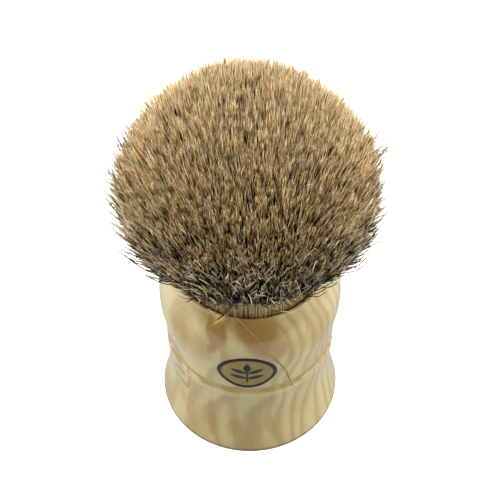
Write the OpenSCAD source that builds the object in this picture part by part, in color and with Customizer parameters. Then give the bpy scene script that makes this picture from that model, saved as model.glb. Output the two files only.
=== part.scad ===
// Shaving brush: a turned wooden handle with a bristle knot glued into its socket.
// +Z is up, along the brush. The origin is the centre of the base, on the surface it stands on.

/* [Handle] */
// Height of the wooden handle, from the base to the mouth
handle_h = 45.6; // [45:0.1:50]
// Diameter at the foot of the flared base
base_d = 38; // [37:0.5:42]
// Rounding of the foot's lower edge
foot_edge = 1.1; // [0.4:0.1:1.4]
// Diameter at the waist of the flare
waist_d = 34.4; // [33:0.1:36]
// Height of the waist
waist_z = 12.8; // [11:0.1:14]
// Diameter of the two soft lips beside the turned groove
lip_d = 35.5; // [35:0.1:36]
// Diameter at the bottom of the turned groove
groove_d = 34.4; // [33.5:0.1:34.8]
// Height of the turned groove
groove_z = 22.3; // [21.5:0.1:23]
// Largest diameter of the barrel above the groove
barrel_d = 37.9; // [37:0.1:40]
// Height of the barrel's largest diameter
barrel_z = 35.4; // [34:0.1:37]
// Rounding of the wooden edge around the mouth
mouth_edge = 0.5; // [0.3:0.1:0.7]
// Diameter of the dished underside, which leaves a ring to stand on
dish_d = 27; // [20:1:30]
// Depth of the dished underside
dish_depth = 0.6; // [0.3:0.1:1.2]

/* [Socket and knot] */
// Diameter of the cast plug, which is the size that a knot is sold by
knot_d = 30; // [29:0.5:30]
// Thickness of the cast plug
plug_h = 8; // [6:0.1:9]
// Depth of the socket
socket_depth = 12.3; // [11:0.1:14]
// Radial gap between the plug and the bored socket, which the adhesive fills
glue_gap = 0.25; // [0.1:0.05:0.3]
// Thickness of the adhesive bed under the plug
glue_bed = 0.9; // [0.5:0.1:1.5]
// Diameter of the resin bump that holds the hair in the middle of the plug
bump_d = 15; // [10:1:20]
// Height of the resin bump
bump_h = 2.2; // [1:0.1:3]
// Thickness of the thread that binds the hair roots
thread_d = 0.5; // [0.3:0.05:0.6]
// Number of turns of the thread
thread_turns = 4; // [3:1:5]

/* [Bristles] */
// Diameter of the bundle of hair where it leaves the mouth
root_d = 29.8; // [28:0.1:29.8]
// Diameter of the opened fan at its widest
fan_d = 52.4; // [46:0.1:56]
// Height of the fan's widest ring
fan_z = 67.4; // [64:0.1:72]
// Height of the crown of the fan, and of the whole brush
crown_z = 91.6; // [86:0.1:96]

/* [Badge] */
// Diameter of the round badge printed on the barrel
badge_d = 12.4; // [12:0.1:13]
// Width of the badge's dark ring
ring_w = 0.85; // [0.5:0.05:1]
// Height of the badge's centre
badge_z = 30.3; // [30:0.1:31]
// Sideways place of the badge's centre on the front of the barrel
badge_x = -0.6; // [-1:0.1:1]
// Thickness of the printed film
film_t = 0.08; // [0.05:0.01:0.12]

/* [Hidden] */
$fn = 96;

socket_r = knot_d / 2 + glue_gap;
socket_z = handle_h - socket_depth;
plug_z = socket_z + glue_bed;
plug_top = plug_z + plug_h;
thread_pitch = thread_d * 0.9;      // the turns press slightly into each other
binding_h = thread_d + thread_pitch * (thread_turns - 1);
root_r = root_d / 2;
fan_r = fan_d / 2;
fan_neck = 8.5;                     // pull of the upright neck at the fan's root
fan_flank = 5.4;                    // pull of the flank below the fan's widest ring
leaf_w = 1.5;                       // width of each leaf in the badge
stalk_w = 0.45;                     // width of the stalk in the badge

// The cubic curve from a to d that b and c pull on, as n points without the last.
function curve(a, b, c, d, n = 12) = [
    for (i = [0 : n - 1])
        let (t = i / n, s = 1 - t)
            a * pow(s, 3) + b * 3 * s * s * t + c * 3 * s * t * t + d * pow(t, 3)
];

// The arc of radius r about a centre, between two angles, as n points without the last.
function arc(centre, r, from, to, n = 12) = [
    for (i = [0 : n - 1])
        let (angle = from + (to - from) * i / n)
            centre + r * [cos(angle), sin(angle)]
];

// The stations of the handle's outline, as [radius, height].
foot = [base_d / 2, foot_edge];
waist = [waist_d / 2, waist_z];
lower_lip = [lip_d / 2, groove_z - 1.5];
groove = [groove_d / 2, groove_z];
upper_lip = [lip_d / 2, groove_z + 1.7];
belly = [barrel_d / 2, barrel_z];
mouth = [socket_r + mouth_edge, handle_h];

// The shoulder is one arc, upright at the belly, that ends at the mouth's edge.
shoulder_rise = mouth.y - belly.y;
shoulder_angle = 2 * atan((belly.x - mouth.x) / shoulder_rise);
shoulder_r = shoulder_rise / sin(shoulder_angle);

// Half of the handle's section: the dished underside, the outer face and the socket.
module handle_section() {
    polygon(concat(
        [[0, dish_depth], [dish_d / 2 - 2 * dish_depth, dish_depth], [dish_d / 2, 0]],
        arc(foot - [foot_edge, 0], foot_edge, -90, 0, 6),
        curve(foot, foot + [-0.85, 4], waist - [0, 3.3], waist),
        curve(waist, waist + [0, 3.2], lower_lip - [0, 2.8], lower_lip),
        curve(lower_lip, lower_lip + [0, 0.8], groove - [0, 0.8], groove, 8),
        curve(groove, groove + [0, 0.8], upper_lip - [0, 0.9], upper_lip, 8),
        curve(upper_lip, upper_lip + [-0.15, 5], belly - [0, 5], belly, 16),
        arc(belly - [shoulder_r, 0], shoulder_r, 0, shoulder_angle, 16),
        arc(mouth - [0, mouth_edge], mouth_edge, 90 - (90 - shoulder_angle) / 2, 180, 6),
        [[socket_r, handle_h - mouth_edge], [socket_r, socket_z], [0, socket_z]]
    ));
}

module handle() {
    color("burlywood") rotate_extrude() handle_section();
}

// The bed under the plug and the thin wall of adhesive around it.
module knot_adhesive() {
    color("khaki")
        difference() {
            translate([0, 0, socket_z]) cylinder(r = socket_r, h = glue_bed + plug_h);
            translate([0, 0, plug_z]) cylinder(d = knot_d, h = plug_h + 1);
        }
}

// The low dome of resin in the middle of the plug.
module glue_bump() {
    bump_r = (bump_d * bump_d / 4 + bump_h * bump_h) / (2 * bump_h);
    intersection() {
        translate([0, 0, plug_top + bump_h - bump_r]) sphere(bump_r);
        translate([0, 0, plug_top - 1]) cylinder(d = bump_d + 1, h = bump_h + 2);
    }
}

module knot_plug() {
    color("saddlebrown")
        union() {
            translate([0, 0, plug_z]) cylinder(d = knot_d, h = plug_h);
            glue_bump();
        }
}

// The wound thread that ties the roots together, just above the plug.
module root_binding() {
    color("tan")
        rotate_extrude()
            for (turn = [0 : thread_turns - 1])
                translate([root_r - thread_d / 2, plug_top + thread_d / 2 + turn * thread_pitch])
                    circle(d = thread_d);
}

// The bundle of hair as one solid: an upright neck, a flare like a tulip and a domed crown.
module bristle_fan() {
    binding_top = plug_top + binding_h;
    widest = [fan_r, fan_z];
    root = [root_r, handle_h];
    color("dimgray")
        difference() {
            rotate_extrude()
                polygon(concat(
                    [[0, plug_top], [root_r - thread_d, plug_top]],
                    [[root_r - thread_d, binding_top], [root_r, binding_top]],
                    curve(root, root + [0, fan_neck], widest - [0, fan_flank], widest, 20),
                    [for (i = [0 : 24])
                        widest + [fan_r * (cos(i * 3.75) - 1), (crown_z - fan_z) * sin(i * 3.75)]]
                ));
            glue_bump();
        }
}

// Cuts a flat shape out of a thin film that lies on the front of the barrel.
module barrel_film() {
    intersection() {
        rotate_extrude()
            difference() {
                translate([film_t, 0]) handle_section();
                handle_section();
            }
        translate([badge_x, 0, badge_z]) rotate([90, 0, 0]) linear_extrude(belly.x + 1) children();
    }
}

// A pointed leaf that grows along +Y from the origin: the overlap of two equal circles.
module leaf(length) {
    leaf_r = (length * length + leaf_w * leaf_w) / (4 * leaf_w);
    translate([0, length / 2])
        intersection_for (side = [-1, 1])
            translate([side * (leaf_r - leaf_w / 2), 0]) circle(leaf_r);
}

// The motif in the badge: a stalk with one leaf at its tip and two pairs below.
module sprig() {
    translate([-stalk_w / 2, -4.1]) square([stalk_w, 5]);
    translate([0, 0.4]) leaf(3.8);
    for (side = [-1, 1]) {
        translate([0, -0.3]) rotate(side * 56) leaf(4.1);
        translate([0, -2.6]) rotate(side * 66) leaf(3.9);
    }
}

module badge_field() {
    color("darkkhaki")
        barrel_film()
            difference() {
                circle(d = badge_d - 2 * ring_w);
                sprig();
            }
}

module badge_ring() {
    color("midnightblue")
        barrel_film()
            difference() {
                circle(d = badge_d);
                circle(d = badge_d - 2 * ring_w);
            }
}

module badge_sprig() {
    color("midnightblue") barrel_film() sprig();
}

handle();
knot_adhesive();
knot_plug();
root_binding();
bristle_fan();
badge_field();
badge_ring();
badge_sprig();
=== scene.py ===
"""A shaving brush: turned lacquered wood, a small round badge and a full fan of badger hair.

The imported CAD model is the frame. Its badge and its hidden knot parts stay and get materials.
The handle is turned again with finer steps, so that its lacquer reflects smoothly, and the
bristle solid is replaced by a dark core and many thousand separate hairs. Lengths are in metres.
"""

import math

import bpy
import numpy as np
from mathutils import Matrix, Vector, kdtree


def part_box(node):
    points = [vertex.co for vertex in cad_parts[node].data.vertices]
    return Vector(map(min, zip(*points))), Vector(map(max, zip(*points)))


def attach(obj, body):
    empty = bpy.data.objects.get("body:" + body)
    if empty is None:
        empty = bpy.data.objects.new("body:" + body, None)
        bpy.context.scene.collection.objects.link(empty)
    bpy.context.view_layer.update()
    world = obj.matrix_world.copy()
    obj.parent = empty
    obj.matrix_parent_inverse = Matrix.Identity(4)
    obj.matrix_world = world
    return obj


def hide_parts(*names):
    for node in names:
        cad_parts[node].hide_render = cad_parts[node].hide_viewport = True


MM = 0.001

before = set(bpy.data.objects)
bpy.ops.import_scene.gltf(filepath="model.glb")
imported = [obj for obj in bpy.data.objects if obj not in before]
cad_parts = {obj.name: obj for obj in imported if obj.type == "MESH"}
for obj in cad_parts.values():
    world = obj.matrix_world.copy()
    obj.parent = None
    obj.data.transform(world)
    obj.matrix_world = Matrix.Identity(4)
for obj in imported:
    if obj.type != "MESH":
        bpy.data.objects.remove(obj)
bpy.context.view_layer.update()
rng = np.random.default_rng(11)

# Places and sizes from the frame.
MOUTH_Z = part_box("handle")[1].z
BASE_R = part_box("handle")[1].x
ROOT_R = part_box("root_binding")[1].x
PLUG_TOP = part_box("bristle_fan")[0].z
CROWN_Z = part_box("bristle_fan")[1].z
FAN_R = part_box("bristle_fan")[1].x
SOCKET_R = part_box("knot_adhesive")[1].x
SOCKET_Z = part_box("knot_adhesive")[0].z


# ---------------------------------------------------------------- small helpers


def stations(node):
    """The distinct (radius, height) stations of a turned CAD node, in order of height."""
    co = np.array([v.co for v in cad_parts[node].data.vertices])
    rz = np.column_stack((np.hypot(co[:, 0], co[:, 1]), co[:, 2]))
    rz = np.unique(np.round(rz, 5), axis=0)
    return rz[np.lexsort((rz[:, 0], rz[:, 1]))]


def link(obj):
    """Puts an object in the scene."""
    bpy.context.scene.collection.objects.link(obj)
    return obj


def new_mesh_object(name, verts, faces, material):
    """A smooth-shaded object in the scene, from lists of vertices and faces."""
    mesh = bpy.data.meshes.new(name)
    mesh.from_pydata(verts, [], faces)
    mesh.update()
    mesh.materials.append(material)
    mesh.shade_smooth()
    return link(bpy.data.objects.new(name, mesh))


def lathe(name, outline, material, steps=192):
    """Turns an outline of (radius, height) pairs about the Z axis. Its two ends lie on the axis."""
    rings = outline[1:-1]
    verts = [
        (r * math.cos(math.tau * i / steps), r * math.sin(math.tau * i / steps), z)
        for r, z in rings
        for i in range(steps)
    ]
    verts += [(0, 0, outline[0][1]), (0, 0, outline[-1][1])]
    low, high = len(verts) - 2, len(verts) - 1
    faces = []
    for k in range(len(rings) - 1):
        for i in range(steps):
            j = (i + 1) % steps
            faces.append((k * steps + i, k * steps + j, (k + 1) * steps + j, (k + 1) * steps + i))
    last = (len(rings) - 1) * steps
    for i in range(steps):
        j = (i + 1) % steps
        faces.append((low, j, i))
        faces.append((high, last + i, last + j))
    obj = new_mesh_object(name, verts, faces, material)
    obj.data.set_sharp_from_angle(angle=math.radians(32))
    return obj


# ---------------------------------------------------------------- node helpers


class Nodes:
    """A short way to write a node tree: each call adds one node and sets or links its inputs."""

    def __init__(self, name):
        self.material = bpy.data.materials.new(name)
        self.material.use_nodes = True
        self.tree = self.material.node_tree
        self.shader = self.tree.nodes["Principled BSDF"]

    def add(self, kind, inputs=(), **settings):
        """Adds a node. settings are its own properties, and inputs its sockets by name or number."""
        node = self.tree.nodes.new(kind)
        for key, value in settings.items():
            setattr(node, key, value)
        for key, value in dict(inputs).items():
            self.plug(node.inputs[key], value)
        return node

    def plug(self, socket, value):
        """Links another node's socket, or sets a plain value."""
        if isinstance(value, bpy.types.NodeSocket):
            self.tree.links.new(value, socket)
        else:
            socket.default_value = value

    def math(self, operation, a, b=0.0, c=0.0):
        return self.add("ShaderNodeMath", {0: a, 1: b, 2: c}, operation=operation).outputs[0]

    def smooth(self, value, low, high, to_low=0.0, to_high=1.0):
        """Maps value from low..high to to_low..to_high with soft ends."""
        inputs = {"Value": value, "From Min": low, "From Max": high, "To Min": to_low, "To Max": to_high}
        return self.add("ShaderNodeMapRange", inputs, interpolation_type="SMOOTHSTEP").outputs[0]

    def mix(self, factor, a, b, blend="MIX"):
        node = self.add("ShaderNodeMix", data_type="RGBA", blend_type=blend)
        self.plug(node.inputs[0], factor)
        self.plug(node.inputs[6], a)
        self.plug(node.inputs[7], b)
        return node.outputs[2]

    def noise(self, vector, scale, detail=3.0, rough=0.5):
        inputs = {"Vector": vector, "Scale": scale, "Detail": detail, "Roughness": rough}
        return self.add("ShaderNodeTexNoise", inputs).outputs[0]

    def place(self, location=(0, 0, 0), rotation=(0, 0, 0), scale=(1, 1, 1)):
        """Object coordinates, moved, turned and scaled."""
        coords = self.add("ShaderNodeTexCoord").outputs["Object"]
        inputs = {"Vector": coords, "Location": location, "Rotation": rotation, "Scale": scale}
        return self.add("ShaderNodeMapping", inputs, vector_type="POINT").outputs[0]

    def bump(self, height, distance, strength=1.0):
        """Gives the shader a bumpy face, distance metres deep."""
        inputs = {"Height": height, "Distance": distance, "Strength": strength}
        self.plug(self.shader.inputs["Normal"], self.add("ShaderNodeBump", inputs).outputs[0])

    def set(self, **sockets):
        """Sets or links sockets of the shader by name, with _ for a space."""
        for key, value in sockets.items():
            self.plug(self.shader.inputs[key.replace("_", " ")], value)
        return self.material


def srgb(r, g, b):
    """A display colour of 0 to 255 a channel, as the linear colour that shaders take."""
    shares = (r / 255, g / 255, b / 255)
    linear = [c / 12.92 if c <= 0.04045 else ((c + 0.055) / 1.055) ** 2.4 for c in shares]
    return (*linear, 1.0)


# ---------------------------------------------------------------- materials


# Brown streaks in the wood's front, and in the last entry painted shade on the shoulder under the hair:
# degrees to the right of the front, height, half width in degrees, half height in mm, strength.
STREAKS_AND_SHADE = [
    (-52, 40, 10, 5.5, 0.5),
    (-25, 40.5, 4.5, 4.5, 1.0),
    (17, 43, 3.5, 3, 0.6),
    (36, 42.5, 3.5, 2.5, 0.5),
    (-46, 11, 6, 8, 0.6),
    (-29, 9, 6, 7, 0.5),
    (-9, 10, 6, 7, 0.35),
    (15, 10, 6, 6, 0.35),
    # Painted shade and painted dark reflection: the shoulder under the overhanging fan is darkened here.
    (5, 43, 17, 5.5, 0.95),
]

# A burr on the left of the flare, which the rings run round: its place, and its size as above.
BURR = (-65, 18, 14, 7)


def wood():
    """Pale ash-like wood under gloss lacquer: growth rings about a pith, brown streaks and a burr, with
    painted shade on the shoulder, in the groove and along the foot, and a painted highlight on the lip.
    """
    ring_width = 2.5            # mm from one growth ring to the next
    bend_degrees = 26.0         # how far the ripple bends the streaks sideways
    bend_mm = 16.0              # and the warp up or down
    groove_shade_mm = 22.0            # height of the turned groove, where painted shade makes the wood a little browner
    lip_highlight_mm = 20.5               # and height of the lip under it, where a painted highlight makes the wood a little paler
    n = Nodes("lacquered_wood")
    # The pith stands behind and to the right of the handle's middle, leaning a little.
    grain = n.place(location=(-17, -14, 0), rotation=(0.07, -0.05, 0), scale=(1000, 1000, 1000))
    warp = n.noise(n.place(scale=(70, 70, 26)), 1.0, 2.0)
    ripple = n.noise(n.place(location=(5.3, 2.1, 0), scale=(210, 210, 70)), 1.0, 1.0)
    flat = n.add("ShaderNodeVectorMath", {0: grain, 1: (1, 1, 0)}, operation="MULTIPLY").outputs[0]
    reach = n.add("ShaderNodeVectorMath", {0: flat}, operation="LENGTH").outputs["Value"]
    bent = n.math("MULTIPLY_ADD", ripple, 1.6, n.math("MULTIPLY_ADD", warp, 9.0, reach))
    phase = n.math("FRACT", n.math("DIVIDE", bent, ring_width))
    ring = n.math("MULTIPLY", n.smooth(phase, 0.2, 0.7), n.smooth(phase, 0.74, 1.0, 1.0, 0.0))
    fibre = n.noise(n.place(scale=(2600, 2600, 90)), 1.0, 3.0, 0.6)
    patch = n.noise(n.place(location=(3.1, 1.7, 0.4), scale=(110, 110, 45)), 1.0, 2.0)
    brown = n.math("MULTIPLY", n.smooth(patch, 0.45, 0.75), 0.5)

    # Each streak, the painted shade on the shoulder, and each ring round the burr, is an ellipse on the
    # unrolled face, bent by the ripple.
    spot = n.add("ShaderNodeSeparateXYZ", {0: n.place(scale=(1000, 1000, 1000))})
    angle = n.math("ARCTAN2", spot.outputs[0], n.math("MULTIPLY", spot.outputs[1], -1))
    angle = n.math("MULTIPLY_ADD", ripple, bend_degrees, n.math("DEGREES", angle))
    height = n.math("MULTIPLY_ADD", warp, bend_mm, spot.outputs[2])

    def ellipse(degrees, level, half_width, half_height):
        """The distance from a place on the face, which is 1 on the ellipse of that size."""
        across = n.math("DIVIDE", n.math("SUBTRACT", angle, degrees + bend_degrees / 2), half_width)
        along = n.math("DIVIDE", n.math("SUBTRACT", height, level + bend_mm / 2), half_height)
        squares = n.math("ADD", n.math("MULTIPLY", across, across), n.math("MULTIPLY", along, along))
        return n.math("SQRT", squares)

    def band(level, strength):
        """A soft band round the handle at one height."""
        off = n.math("ABSOLUTE", n.math("SUBTRACT", spot.outputs[2], level))
        return n.smooth(off, 0.3, 0.9, strength, 0.0)

    for *place, strength in STREAKS_AND_SHADE:
        brown = n.math("MAXIMUM", brown, n.smooth(ellipse(*place), 0.5, 1.3, strength, 0.0))
    far = ellipse(*BURR)
    ring = n.math("MULTIPLY", ring, n.smooth(far, 0.9, 1.4))
    for size in (0.45, 1.0):
        line = n.smooth(n.math("ABSOLUTE", n.math("SUBTRACT", far, size)), 0.06, 0.22, 0.8, 0.0)
        brown = n.math("MAXIMUM", brown, line)

    color = n.mix(n.math("MULTIPLY", ring, 0.6), srgb(200, 184, 130), srgb(164, 136, 76))
    color = n.mix(brown, color, srgb(158, 123, 62))
    # Painted shade: a browner band in the groove, where the upper lip turns down.
    color = n.mix(band(groove_shade_mm, 0.38), color, srgb(142, 108, 52))
    # Painted highlight: a paler band on the lip under the groove, which faces up to the light.
    color = n.mix(band(lip_highlight_mm, 0.4), color, srgb(216, 202, 158))
    # Painted shade: the wood darker along the foot's lower edge, as its contact shadow.
    color = n.mix(n.smooth(spot.outputs[2], 0.9, 1.9, 0.85, 0.0), color, srgb(90, 70, 46))
    color = n.mix(n.smooth(fibre, 0.3, 0.75, 0.0, 0.18), color, srgb(150, 116, 66))
    n.bump(fibre, 0.00002, 0.15)
    return n.set(
        Base_Color=color,
        Roughness=0.42,
        Coat_Weight=1.0,
        Coat_Roughness=0.16,
        Specular_IOR_Level=0.1,
    )


def hair():
    """Badger hair by the hair's own coordinates: U runs down from the tip, V picks the hair's tone.

    From the tip down: cream, tan and near black, with a pale root in the neck, and just above the mouth
    a golden-brown line of painted shade where the hair meets the wood. The lower half of V holds the
    crown's hair, with long tan tips, and the upper half the flank's, with short cream tips.
    """
    n = Nodes("badger_hair")
    uv = n.add("ShaderNodeUVMap", uv_map=HAIR_UV).outputs[0]
    split = n.add("ShaderNodeSeparateXYZ", {0: uv})
    down, tone = split.outputs[0], split.outputs[1]
    row = n.math("FLOOR", n.math("MULTIPLY", tone, TONES))
    flank = n.math("GREATER_THAN", tone, 0.5)
    pick = n.add("ShaderNodeTexWhiteNoise", {"W": row}, noise_dimensions="1D")
    picks = n.add("ShaderNodeSeparateColor", {0: pick.outputs["Color"]})
    red, shade, reach = picks.outputs[0], picks.outputs[1], picks.outputs[2]
    mm = n.math("MULTIPLY", down, HAIR_SPAN / MM)
    crown_mm = n.math("MULTIPLY_ADD", reach, 6.0, 1.8)
    flank_mm = n.math("MULTIPLY_ADD", reach, 3.0, 2.6)
    tip_mm = n.math("ADD", n.math("MULTIPLY", flank, n.math("SUBTRACT", flank_mm, crown_mm)), crown_mm)
    along = n.math("DIVIDE", mm, tip_mm)
    redder = n.smooth(red, 0.4, 0.9)
    cream = n.mix(redder, srgb(246, 230, 184), srgb(244, 212, 156))
    cream = n.mix(flank, cream, srgb(255, 244, 216))
    tan = n.mix(redder, srgb(244, 214, 152), srgb(222, 162, 100))
    tan = n.mix(flank, tan, srgb(240, 214, 168))
    black = n.mix(red, srgb(12, 11, 15), srgb(36, 26, 20))
    root = n.mix(red, srgb(204, 184, 140), srgb(180, 152, 110))
    color = n.mix(n.smooth(along, 0.05, 0.6), cream, tan)
    color = n.mix(n.smooth(along, 0.6, 1.2), color, black)
    light = n.math("MULTIPLY_ADD", shade, 0.95, n.math("MULTIPLY_ADD", flank, 0.15, 0.38))
    grey = n.add("ShaderNodeCombineColor", {0: light, 1: light, 2: light}).outputs[0]
    color = n.mix(1.0, color, grey, "MULTIPLY")
    height = n.add("ShaderNodeSeparateXYZ", {0: n.place(scale=(1000, 1000, 1000))}).outputs[2]
    height = n.math("MULTIPLY_ADD", reach, 4.0, height)
    mouth = MOUTH_Z / MM
    color = n.mix(n.smooth(height, mouth + 6.4, mouth + 10.9, 1.0, 0.0), color, root)
    # Painted shade: a golden-brown line on the hair just above the mouth, where it meets the wood.
    color = n.mix(n.smooth(height, mouth + 0.6, mouth + 1.2, 0.7, 0.0), color, srgb(190, 140, 94))
    return n.set(Base_Color=color, Roughness=0.34, Specular_IOR_Level=0.4)


def loose_hair():
    """Loose hair: dark above the mouth, golden beside it, dark brown lower down and pale at the tip."""
    n = Nodes("loose_hair")
    height = n.add("ShaderNodeSeparateXYZ", {0: n.place(scale=(1000, 1000, 1000))}).outputs[2]
    mouth = MOUTH_Z / MM
    color = n.mix(n.smooth(height, 33.0, 40.0), srgb(92, 62, 34), srgb(214, 176, 116))
    color = n.mix(n.smooth(height, 18.5, 22.5), srgb(250, 236, 196), color)
    color = n.mix(n.smooth(height, mouth + 0.8, mouth + 2.8), color, srgb(56, 42, 32))
    return n.set(Base_Color=color, Roughness=0.35)


def underhair():
    """The shaded hair deep in the fan: dark above, pale at the root and streaked along its height."""
    n = Nodes("underhair")
    streak = n.noise(n.place(scale=(2200, 2200, 120)), 1.0, 3.0)
    height = n.add("ShaderNodeSeparateXYZ", {0: n.place(scale=(1000, 1000, 1000))}).outputs[2]
    dark = n.mix(n.smooth(streak, 0.3, 0.7), srgb(16, 14, 15), srgb(50, 38, 30))
    pale = n.mix(n.smooth(streak, 0.3, 0.7), srgb(150, 124, 88), srgb(184, 158, 118))
    n.bump(streak, 0.0002)
    mouth = MOUTH_Z / MM
    color = n.mix(n.smooth(height, mouth + 4.4, mouth + 8.4), pale, dark)
    return n.set(Base_Color=color, Roughness=0.8)


def print_ink(name, low, high):
    """Print under lacquer, a little uneven."""
    n = Nodes(name)
    mottle = n.noise(n.place(scale=(900, 900, 900)), 1.0, 3.0)
    color = n.mix(n.smooth(mottle, 0.3, 0.7), low, high)
    return n.set(
        Base_Color=color,
        Roughness=0.5,
        Coat_Weight=0.3,
        Coat_Roughness=0.05,
        Specular_IOR_Level=0.1,
    )


def resin(name, low, high, rough):
    """Cast resin or set glue with faint clouds."""
    n = Nodes(name)
    cloud = n.noise(n.place(scale=(250, 250, 250)), 1.0, 4.0)
    return n.set(Base_Color=n.mix(cloud, low, high), Roughness=rough)


def thread():
    """Waxed thread: fine plies across each turn."""
    n = Nodes("binding_thread")
    ply = n.noise(n.place(rotation=(0.5, 0, 0), scale=(3000, 3000, 1200)), 1.0, 2.0)
    n.bump(ply, 0.00005)
    return n.set(Base_Color=n.mix(ply, srgb(150, 118, 82), srgb(206, 180, 140)), Roughness=0.6)


def paper(name, shade):
    """Studio paper with a faint tooth, and the node builder, so that a glow can be added."""
    n = Nodes(name)
    tooth = n.noise(n.place(scale=(800, 800, 800)), 1.0, 2.0)
    n.bump(tooth, 0.00003, 0.2)
    color = n.mix(tooth, srgb(shade - 3, shade - 3, shade - 3), srgb(shade, shade, shade))
    n.set(Base_Color=color, Roughness=0.9, Specular_IOR_Level=0.1, Emission_Color=(1, 1, 1, 1))
    return n


# ---------------------------------------------------------------- handle and knot


def turned_handle():
    """The CAD handle's own outline, turned with steps fine enough for a smooth reflection."""
    rz = stations("handle")
    outer = rz[rz[:, 0] > SOCKET_R + 0.6 * MM]
    edge = 0.5 * MM         # rounding of the wood round the mouth
    lip = [
        (SOCKET_R + edge - edge * math.sin(a), MOUTH_Z - edge + edge * math.cos(a))
        for a in (math.radians(d) for d in range(0, 91, 15))
    ]
    dish = rz[(rz[:, 1] < 1 * MM) & (rz[:, 0] < 0.8 * BASE_R)]
    dish_floor = dish[dish[:, 1] > 0.1 * MM]
    dish_rim = dish[dish[:, 1] <= 0.1 * MM]
    outline = [(0, dish_floor[0][1]), tuple(dish_floor[-1]), tuple(dish_rim[-1])]
    outline += [tuple(p) for p in outer]
    outline += lip + [(SOCKET_R, SOCKET_Z), (0, SOCKET_Z)]
    obj = lathe("handle_turned", outline, wood())
    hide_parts("handle")
    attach(obj, "root")
    return outline


def dress_cad_nodes():
    """Materials for the CAD nodes that stay."""
    looks = {
        "badge_field": print_ink("badge_tan", srgb(144, 120, 68), srgb(158, 132, 78)),
        "badge_ring": print_ink("badge_ink_ring", srgb(8, 12, 20), srgb(16, 21, 30)),
        "badge_sprig": print_ink("badge_ink_sprig", srgb(8, 12, 20), srgb(16, 21, 30)),
        "knot_adhesive": resin("set_adhesive", srgb(226, 214, 168), srgb(205, 186, 130), 0.25),
        "knot_plug": resin("cast_resin", srgb(96, 62, 36), srgb(132, 90, 56), 0.3),
        "root_binding": thread(),
    }
    for node, material in looks.items():
        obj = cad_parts[node]
        obj.data.materials.clear()
        obj.data.materials.append(material)


# ---------------------------------------------------------------- hair

HAIR_UV = "OFBake"              # the hair's own coordinates
HAIR_SPAN = 50 * MM             # the length of hair that U covers
TONES = 64                      # how many tones V picks from
TAPER = 4 * MM                  # each hair thins over this length to its tip
BEND_LOW = 47 * MM              # the outermost hair starts to lean outwards here
FLARE = (55 * MM, 57 * MM)      # between these heights it leans out the most
FLARE_SLOPE = 0.95              # and this is its run over rise there
BEND_HIGH = 66 * MM             # from this height on it goes straight again
TIP_SLOPE = 0.42                # with this run over rise, up to its tip
ROOT_INSET = 0.25 * MM          # roots keep this far inside the binding's radius, but not the flank's
LEAN = Vector((-0.5 * MM, 0, 0))        # the whole fan leans a little
TRIM = 0.2 * MM                 # the dome's tips end this far inside the fan's radius, before they stray
LOFT = 2.8 * MM                 # and the topmost this far above its crown


def fan_widest():
    """The height of the fan's widest ring."""
    rz = stations("bristle_fan")
    return rz[np.argmax(rz[:, 0])][1]


FAN_Z = fan_widest()


def outward(z):
    """How far the outermost hair has moved outwards at height z: the sum of its slope below z."""
    heights = np.linspace(BEND_LOW, CROWN_Z, 200)
    slopes = np.interp(heights, (BEND_LOW, *FLARE, BEND_HIGH), (0, FLARE_SLOPE, FLARE_SLOPE, TIP_SLOPE))
    moved = np.concatenate(([0], np.cumsum((slopes[1:] + slopes[:-1]) / 2 * np.diff(heights))))
    return np.interp(z, heights, moved)


def dome_tips(count, lowest, highest):
    """Tips spread evenly over a band of the dome: angle about the axis, radius and height."""
    phi = rng.uniform(0, math.tau, count)
    rise = rng.uniform(lowest, highest, count)
    radius = FAN_R * np.sqrt(1 - rise**2)
    return phi, radius, FAN_Z + (CROWN_Z - FAN_Z) * rise


def tip_pace(top):
    """The hair's pale tips look shorter towards the fan's lower edge."""
    return np.interp(top, (64 * MM, 84 * MM), (2.8, 1.1)) * rng.uniform(0.85, 1.15, len(top))


def nearest_clump(tips, seeds):
    """For each tip, which seed is nearest to it."""
    tree = kdtree.KDTree(len(seeds))
    for i, p in enumerate(seeds):
        tree.insert(p, i)
    tree.balance()
    return np.array([tree.find(p)[1] for p in tips])


def grow(phi, radius, top, rings, reach, root=None):
    """Hair paths from roots to tips as [hair, ring, xyz], and each ring's freedom to move.

    Freedom is 0 where the hair is held in the neck and 1 at its tip. reach is how far down from its
    tip each hair is drawn; the rest is hidden in the fan. root is the radius of the roots. Without
    it, a hair is rooted as far out in the knot as its tip is in the fan.
    """
    if root is None:
        root_limit = ROOT_R - ROOT_INSET
        root = root_limit * np.minimum(radius / (root_limit + outward(top)), 1)
    slope = (radius - root) / np.maximum(outward(top), 1 * MM)
    start = np.maximum(PLUG_TOP + 0.2 * MM, top - reach)
    rise = 1 - (1 - np.linspace(0, 1, rings)) ** 1.3        # the rings stand closer near the tip
    z = start[:, None] + (top - start)[:, None] * rise
    r = root[:, None] + slope[:, None] * outward(z)
    path = np.stack((r * np.cos(phi)[:, None], r * np.sin(phi)[:, None], z), -1)
    freedom = np.clip((z - BEND_LOW) / (top[:, None] - BEND_LOW), 0, 1) ** 1.6
    path += freedom[..., None] * np.array(LEAN)
    return path, freedom


def distance_from_tip(path):
    """How far each ring of each hair is from the tip, along the hair."""
    length = np.linalg.norm(np.diff(path, axis=1), axis=2)
    to_tip = np.cumsum(length[:, ::-1], 1)[:, ::-1]
    return np.concatenate((to_tip, np.zeros((len(path), 1))), 1)


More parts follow.
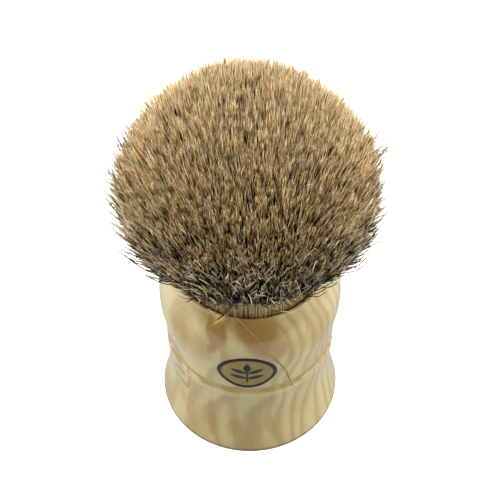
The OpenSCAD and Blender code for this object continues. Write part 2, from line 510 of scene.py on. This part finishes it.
def tube_vertices(path, radius):
    """Three corners round every ring but the last, and then the tip, as [hair, vertex, xyz]."""
    count = len(path)
    along = np.gradient(path, axis=1)
    along /= np.linalg.norm(along, axis=2, keepdims=True)
    side = np.cross(along, rng.normal(size=(count, 1, 3)))
    side /= np.linalg.norm(side, axis=2, keepdims=True)
    other = np.cross(along, side)
    corners = []
    for turn in (0, math.tau / 3, 2 * math.tau / 3):
        corners.append(path + radius[..., None] * (math.cos(turn) * side + math.sin(turn) * other))
    body = np.stack(corners, 2)[:, :-1]
    return np.concatenate((body.reshape(count, -1, 3), path[:, -1:]), 1)


def tube_faces(u, tone):
    """The quads along the tubes and the triangles at their tips and butts, with their UV corners.

    u holds U at each ring. Across its row in V, a hair keeps clear of the next tones.
    """
    count, rings = u.shape
    per_hair = 3 * (rings - 1) + 1
    base = (np.arange(count) * per_hair)[:, None]
    v_low, v_high = (tone + 0.2) / TONES, (tone + 0.8) / TONES
    quads, quad_uv = [], []
    for ring in range(rings - 2):
        for c in range(3):
            d = (c + 1) % 3
            ids = [3 * ring + c, 3 * ring + d, 3 * (ring + 1) + d, 3 * (ring + 1) + c]
            quads.append(base + np.array(ids))
            lower, upper = u[:, ring], u[:, ring + 1]
            quad_uv.append(np.stack((lower, v_low, lower, v_high, upper, v_high, upper, v_low), 1))
    tris, tri_uv = [], []
    last = 3 * (rings - 2)
    for c in range(3):
        d = (c + 1) % 3
        tris.append(base + np.array([last + c, last + d, per_hair - 1]))
        lower = u[:, -2]
        tri_uv.append(np.stack((lower, v_low, lower, v_high, u[:, -1], (v_low + v_high) / 2), 1))
    tris.append(base + np.array([2, 1, 0]))
    butt = u[:, 0]
    butt_depth = 0.002      # keeps the butt's triangle from being flat in U
    tri_uv.append(np.stack((butt, v_low, butt, v_high, butt - butt_depth, v_low), 1))
    quads = np.stack(quads, 1).reshape(-1, 4)
    quad_uv = np.stack(quad_uv, 1).reshape(-1, 8)
    tris = np.stack(tris, 1).reshape(-1, 3)
    tri_uv = np.stack(tri_uv, 1).reshape(-1, 6)
    return quads, quad_uv, tris, tri_uv


def tubes(name, path, width, tone, pace, material):
    """One mesh of closed three-sided tubes along the paths, each tapering to its tip.

    tone picks each hair's row in V. pace is how fast U runs down it: twice the pace gives a tip half
    as long.
    """
    from_tip = distance_from_tip(path)
    taper = np.clip(from_tip / TAPER, 0, 1) ** 0.7
    verts = tube_vertices(path, width[:, None] / 2 * taper).reshape(-1, 3)
    quads, quad_uv, tris, tri_uv = tube_faces(from_tip / HAIR_SPAN * pace[:, None], tone)

    mesh = bpy.data.meshes.new(name)
    mesh.vertices.add(len(verts))
    mesh.vertices.foreach_set("co", verts.astype(np.float32).ravel())
    corners = np.concatenate((quads.ravel(), tris.ravel()))
    mesh.loops.add(len(corners))
    mesh.loops.foreach_set("vertex_index", corners.astype(np.int32))
    sizes = np.concatenate((np.full(len(quads), 4), np.full(len(tris), 3)))
    starts = np.concatenate(([0], np.cumsum(sizes)[:-1]))
    mesh.polygons.add(len(sizes))
    mesh.polygons.foreach_set("loop_start", starts.astype(np.int32))
    mesh.polygons.foreach_set("use_smooth", np.ones(len(sizes), bool))
    layer = mesh.uv_layers.new(name=HAIR_UV)
    layer.data.foreach_set("uv", np.concatenate((quad_uv.ravel(), tri_uv.ravel())).astype(np.float32))
    mesh.update(calc_edges=True)
    mesh.validate()
    mesh.materials.append(material)
    obj = link(bpy.data.objects.new(name, mesh))
    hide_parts("bristle_fan")
    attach(obj, "root")


def tousle(path, freedom, clumps, pull, stray, height, length):
    """Leans each hair towards its clump's tip and by some of its own, and gives it a light wave.

    pull is the range of shares of the way to the clump's tip, stray the spread of the lean of each
    clump and of each hair, height and length the ranges of the wave's size. Lengths here are in mm.
    """
    count = len(path)
    tips = path[:, -1]
    seeds = tips[rng.choice(count, clumps, replace=False)]
    own = nearest_clump(tips, seeds)
    shift = (seeds[own] - tips) * rng.uniform(*pull, count)[:, None]
    lean = np.clip(rng.normal(size=(clumps, 3)), -2, 2)[own] * stray[0]
    lean += np.clip(rng.normal(size=(count, 3)), -2, 2) * stray[1]
    shift += lean * MM
    path += (freedom**2)[..., None] * shift[:, None]
    from_tip = np.linalg.norm(path - path[:, -1:], axis=2) / MM
    turns = from_tip / rng.uniform(*length, count)[:, None] + rng.random((count, 1))
    direction = rng.normal(size=(count, 1, 3))
    direction /= np.linalg.norm(direction, axis=2, keepdims=True)
    swing = np.sin(math.tau * turns) * freedom * rng.uniform(*height, count)[:, None] * MM
    path += swing[..., None] * direction
    return own


def in_sectors(name, parts, phi, path, width, tone, pace, material):
    """One piece of hair for each equal sector round the fan."""
    sector = np.floor(phi / math.tau * parts).astype(int)
    for i in range(parts):
        mine = sector == i
        tubes(f"{name}_{i + 1}", path[mine], width[mine], tone[mine], pace[mine], material)


def dome_hair(name, parts, count, band, rings, reach, buried, tousled, width, material):
    """Tips over a band of the dome, near its face except for the share that is buried a little.

    band is the band's lowest and highest height as shares of the dome's, tousled holds tousle's
    settings, and width is the range of the hairs' thickness in mm.
    """
    phi, radius, top = dome_tips(count, *band)
    deep = rng.random(count) < buried
    depth = np.where(deep, rng.uniform(1, 4, count), rng.uniform(0, 1, count)) * MM
    radius = radius * (1 - (depth + TRIM) / FAN_R)
    top = FAN_Z + (top - FAN_Z) * (1 + (LOFT - depth) / (CROWN_Z - FAN_Z))
    path, freedom = grow(phi, radius, top, rings, reach)
    own = tousle(path, freedom, **tousled)
    tone = (own * 7 + rng.integers(0, 10, count)) % (TONES // 2)
    in_sectors(name, parts, phi, path, rng.uniform(*width, count) * MM, tone, tip_pace(top), material)


def crown_hair(material):
    """The dense crown, and below it the skirt, where the tips stand in tufts with dark gaps between."""
    dome_hair(
        name="crown_hair",
        parts=4,
        count=27000,
        band=(0.3, 1),
        rings=4,
        reach=7.5 * MM,
        buried=0.35,
        tousled={
            "clumps": 8000,
            "pull": (0.3, 0.9),
            "stray": (0.65, 0.5),
            "height": (0.05, 0.2),
            "length": (7, 14),
        },
        width=(0.11, 0.18),
        material=material,
    )
    dome_hair(
        name="skirt_hair",
        parts=2,
        count=6500,
        band=(0.0, 0.36),
        rings=7,
        reach=9 * MM,
        buried=0.1,
        tousled={
            "clumps": 1500,
            "pull": (0.5, 0.95),
            "stray": (1.0, 0.7),
            "height": (0.1, 0.4),
            "length": (5, 10),
        },
        width=(0.14, 0.2),
        material=material,
    )


def outermost(top):
    """The radius of the fan's face for tips at these heights."""
    rise = np.clip((top - FAN_Z) / (CROWN_Z - FAN_Z), -1, 1)
    return np.minimum(ROOT_R + outward(top), FAN_R * np.sqrt(1 - rise**2))


def flank_hair(material):
    """The outermost hairs, drawn from root to tip: they make the neck and the dark underside."""
    count = 4800
    phi = rng.uniform(0, math.tau, count)
    top = FAN_Z + rng.uniform(-0.8, 5, count) * MM
    radius = outermost(top) - rng.uniform(-0.2, 2.4, count) * MM
    root = ROOT_R - rng.uniform(0.05, 0.8, count) * MM
    path, freedom = grow(phi, radius, top, 13, 60 * MM, root)
    own = tousle(
        path,
        freedom,
        clumps=600,
        pull=(0.4, 0.95),
        stray=(0.9, 0.7),
        height=(0.1, 0.4),
        length=(5, 10),
    )
    tone = TONES // 2 + (own * 5 + rng.integers(0, 20, count)) % (TONES // 2)
    pace = rng.uniform(1.2, 2.2, count)
    in_sectors("flank_hair", 2, phi, path, rng.uniform(0.13, 0.21, count) * MM, tone, pace, material)


def edge_tips(material):
    """Bright wavy tips that cross over the dark band at the fan's lower edge."""
    count = 2400
    wild = 0.15             # the share of them that stick out further
    phi = rng.uniform(0, math.tau, count)
    top = FAN_Z + rng.uniform(0.3, 10, count) * MM
    radius = outermost(top) + rng.uniform(-0.6, 0.6, count) * MM
    radius += np.where(rng.random(count) < wild, rng.uniform(0.5, 3.5, count), 0) * MM
    path, freedom = grow(phi, radius, top, 11, 16 * MM)
    lean = np.clip(rng.normal(0, 2.2, count), -4.5, 4.5) * MM
    sideways = np.stack((-np.sin(phi) * lean, np.cos(phi) * lean, 0 * lean), 1)
    path += (freedom**2)[..., None] * sideways[:, None]
    tousle(
        path,
        freedom,
        clumps=400,
        pull=(0.0, 0.4),
        stray=(0.9, 0.9),
        height=(0.1, 0.4),
        length=(7, 12),
    )
    tone = rng.integers(TONES // 2, TONES, count)
    width = rng.uniform(0.17, 0.27, count) * MM
    tubes("edge_tips", path, width, tone, rng.uniform(0.6, 1.0, count), material)


# The long loose hair down the handle's front, as (x, z) in mm from the mouth to the flare.
LONG_STRAY = [
    (-3, 46.5),
    (-2, 45.5),
    (-0.5, 44),
    (1.5, 42),
    (2.5, 40),
    (4, 37.5),
    (6, 34),
    (7.5, 29),
    (8, 25),
    (9.5, 19),
    (10, 17.5),
]


# The tuft that hangs out over the mouth, as (x, y, z) in mm from its root to its tip.
TUFT = [(-3, -14, 50.5), (-5, -16, 47), (-7.5, -16, 44.5)]


def soften(line):
    """Rounds the corners of a line of numbers that are evenly spaced along a hair."""
    return np.convolve(np.pad(line, 2, "reflect", reflect_type="odd"), np.ones(5) / 5, "valid")


def long_stray(outline, material):
    """The long loose hair. It lies on the handle's face and spans the groove."""
    face = np.array([p for p in outline if p[0] > SOCKET_R + 0.5 * MM and p[1] > 1 * MM])
    beside_groove = (face[:, 1] < 19 * MM) | (face[:, 1] > 25 * MM)
    face = face[beside_groove]
    points = np.array(LONG_STRAY) * MM
    steps = np.linspace(0, len(points) - 1, 34)
    x = soften(np.interp(steps, range(len(points)), points[:, 0]))
    z = soften(np.interp(steps, range(len(points)), points[:, 1]))
    width = 0.13 * MM
    r = np.interp(z, face[:, 1], face[:, 0]) + 0.07 * MM
    path = np.stack((x, -np.sqrt(r**2 - x**2), z), 1)[None]
    tubes("stray_hair_long", path, np.array([width]), np.array([3]), np.array([1.0]), material)


def short_tuft(material):
    """The tuft: hairs that start together and fray towards their tips."""
    count, rings = 12, 8
    bend = np.interp(np.arange(rings), (0, 3, rings - 1), (0, 1, 2))
    x, y, z = (np.interp(bend, (0, 1, 2), [p[i] for p in TUFT]) for i in range(3))
    fray = rng.normal(0, 0.5, (count, 1, 3)) * (bend[None, :, None] / 2) ** 1.5
    path = (np.stack((x, y, z), 1)[None] + rng.normal(0, 0.2, (count, 1, 3)) + fray) * MM
    width = np.full(count, 0.16 * MM)
    tubes("stray_hairs_short", path, width, np.full(count, TONES - 3), np.full(count, 0.4), material)


def hair_core():
    """A closed body inside the hair, so that no gap shows through the fan."""
    neck_inset = 0.85 * MM      # the body is this much narrower than the hair in the neck
    neck_top = 50 * MM          # up to this height
    flank_inset = 0.1 * FAN_R   # and this much at the widest ring
    height_share = 0.84         # its height above the mouth, as a share of the fan's
    width_share = 0.94          # and its width above the widest ring, as a share of the rest
    foot = PLUG_TOP + 3 * MM    # it starts a little above the knot's plug
    rz = stations("bristle_fan")
    outer = rz[(rz[:, 1] >= MOUTH_Z - 0.1 * MM) & (rz[:, 0] > 0.5 * MM)]
    outline = [(0, foot), (ROOT_R - neck_inset, foot)]
    for r, z in outer:
        inset = np.interp(z, (neck_top, FAN_Z), (neck_inset, flank_inset))
        narrow = 1 if z < FAN_Z else width_share
        outline.append(((r - inset) * narrow, MOUTH_Z + (z - MOUTH_Z) * height_share))
    outline.append((0, MOUTH_Z + (CROWN_Z - MOUTH_Z) * height_share))
    obj = lathe("hair_core", outline, underhair(), steps=96)
    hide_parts("bristle_fan")
    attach(obj, "root")


# ---------------------------------------------------------------- studio


def stage_plane(name, size, place, turn, material, unseen_by):
    """A square plane that is no part of the brush. unseen_by names the rays that pass through it."""
    bpy.ops.mesh.primitive_plane_add(size=size, location=place, rotation=turn)
    plane = bpy.context.active_object
    plane.name = name
    plane.data.materials.append(material)
    for ray in unseen_by:
        setattr(plane, f"visible_{ray}", False)


def studio():
    """A white floor, soft boxes on both sides and above, and what the lacquer mirrors.

    The floor that the camera sees glows evenly. The light and the reflections come from a second, duller
    paper just under it, whose glow is dimmer near the brush as a painted shadow of the brush, and from a
    dark card in front.
    """
    white = paper("white_floor", 250).set(Emission_Strength=1.0)
    stage_plane("floor", 3, (0, 0, 0), (0, 0, 0), white, ("diffuse", "glossy"))
    dull = paper("dull_paper", 120)
    away = dull.add("ShaderNodeVectorMath", {0: dull.place()}, operation="LENGTH").outputs["Value"]
    # Painted shadow: the paper's glow is dimmer near the brush, standing in for the brush's shadow on
    # it.
    dull.set(Emission_Strength=dull.smooth(away, 0.04, 0.1, 0.5, 1.3))
    stage_plane("paper", 3, (0, 0, -0.0005), (0, 0, 0), dull.material, ("camera",))
    black = Nodes("black_card").set(Base_Color=(0.02, 0.02, 0.02, 1), Roughness=1.0)
    upright = (math.pi / 2, 0, 0)
    stage_plane("dark_card", 0.36, (0, -0.118, 0.18), upright, black, ("camera",))

    world = bpy.data.worlds.new("studio")
    world.use_nodes = True
    world.node_tree.nodes["Background"].inputs["Color"].default_value = (1, 1, 1, 1)
    world.node_tree.nodes["Background"].inputs["Strength"].default_value = 0.28
    bpy.context.scene.world = world

    target = Vector((0, 0, 0.04))
    boxes = {
        "left_box": ((-0.54, -0.12, 0.25), 0.4, 3.2),
        "right_box": ((0.54, -0.12, 0.25), 0.4, 3.4),
        "top_box": ((0.0, 0.0, 0.75), 0.5, 4.8),
    }
    for name, (place, size, power) in boxes.items():
        light = bpy.data.lights.new(name, "AREA")
        light.size = size
        light.energy = power
        lamp = link(bpy.data.objects.new(name, light))
        lamp.location = place
        lamp.rotation_euler = (target - Vector(place)).to_track_quat("-Z", "Y").to_euler()


def camera():
    """A long lens, 53 degrees above the horizon, at the height where the brush fills the frame."""
    distance, pitch, aim = 0.42, math.radians(53.05), 0.0479
    data = bpy.data.cameras.new("camera")
    data.lens = 148.6
    data.sensor_width = 36
    cam = link(bpy.data.objects.new("camera", data))
    cam.location = (0, -distance * math.cos(pitch), aim + distance * math.sin(pitch))
    cam.rotation_euler = (math.pi / 2 - pitch, 0, 0)
    bpy.context.scene.camera = cam


camera()
studio()
bpy.context.scene.view_settings.view_transform = "Standard"
handle_outline = turned_handle()
dress_cad_nodes()
hair_look = hair()
hair_core()
crown_hair(hair_look)
flank_hair(hair_look)
edge_tips(hair_look)
loose_look = loose_hair()
long_stray(handle_outline, loose_look)
short_tuft(loose_look)
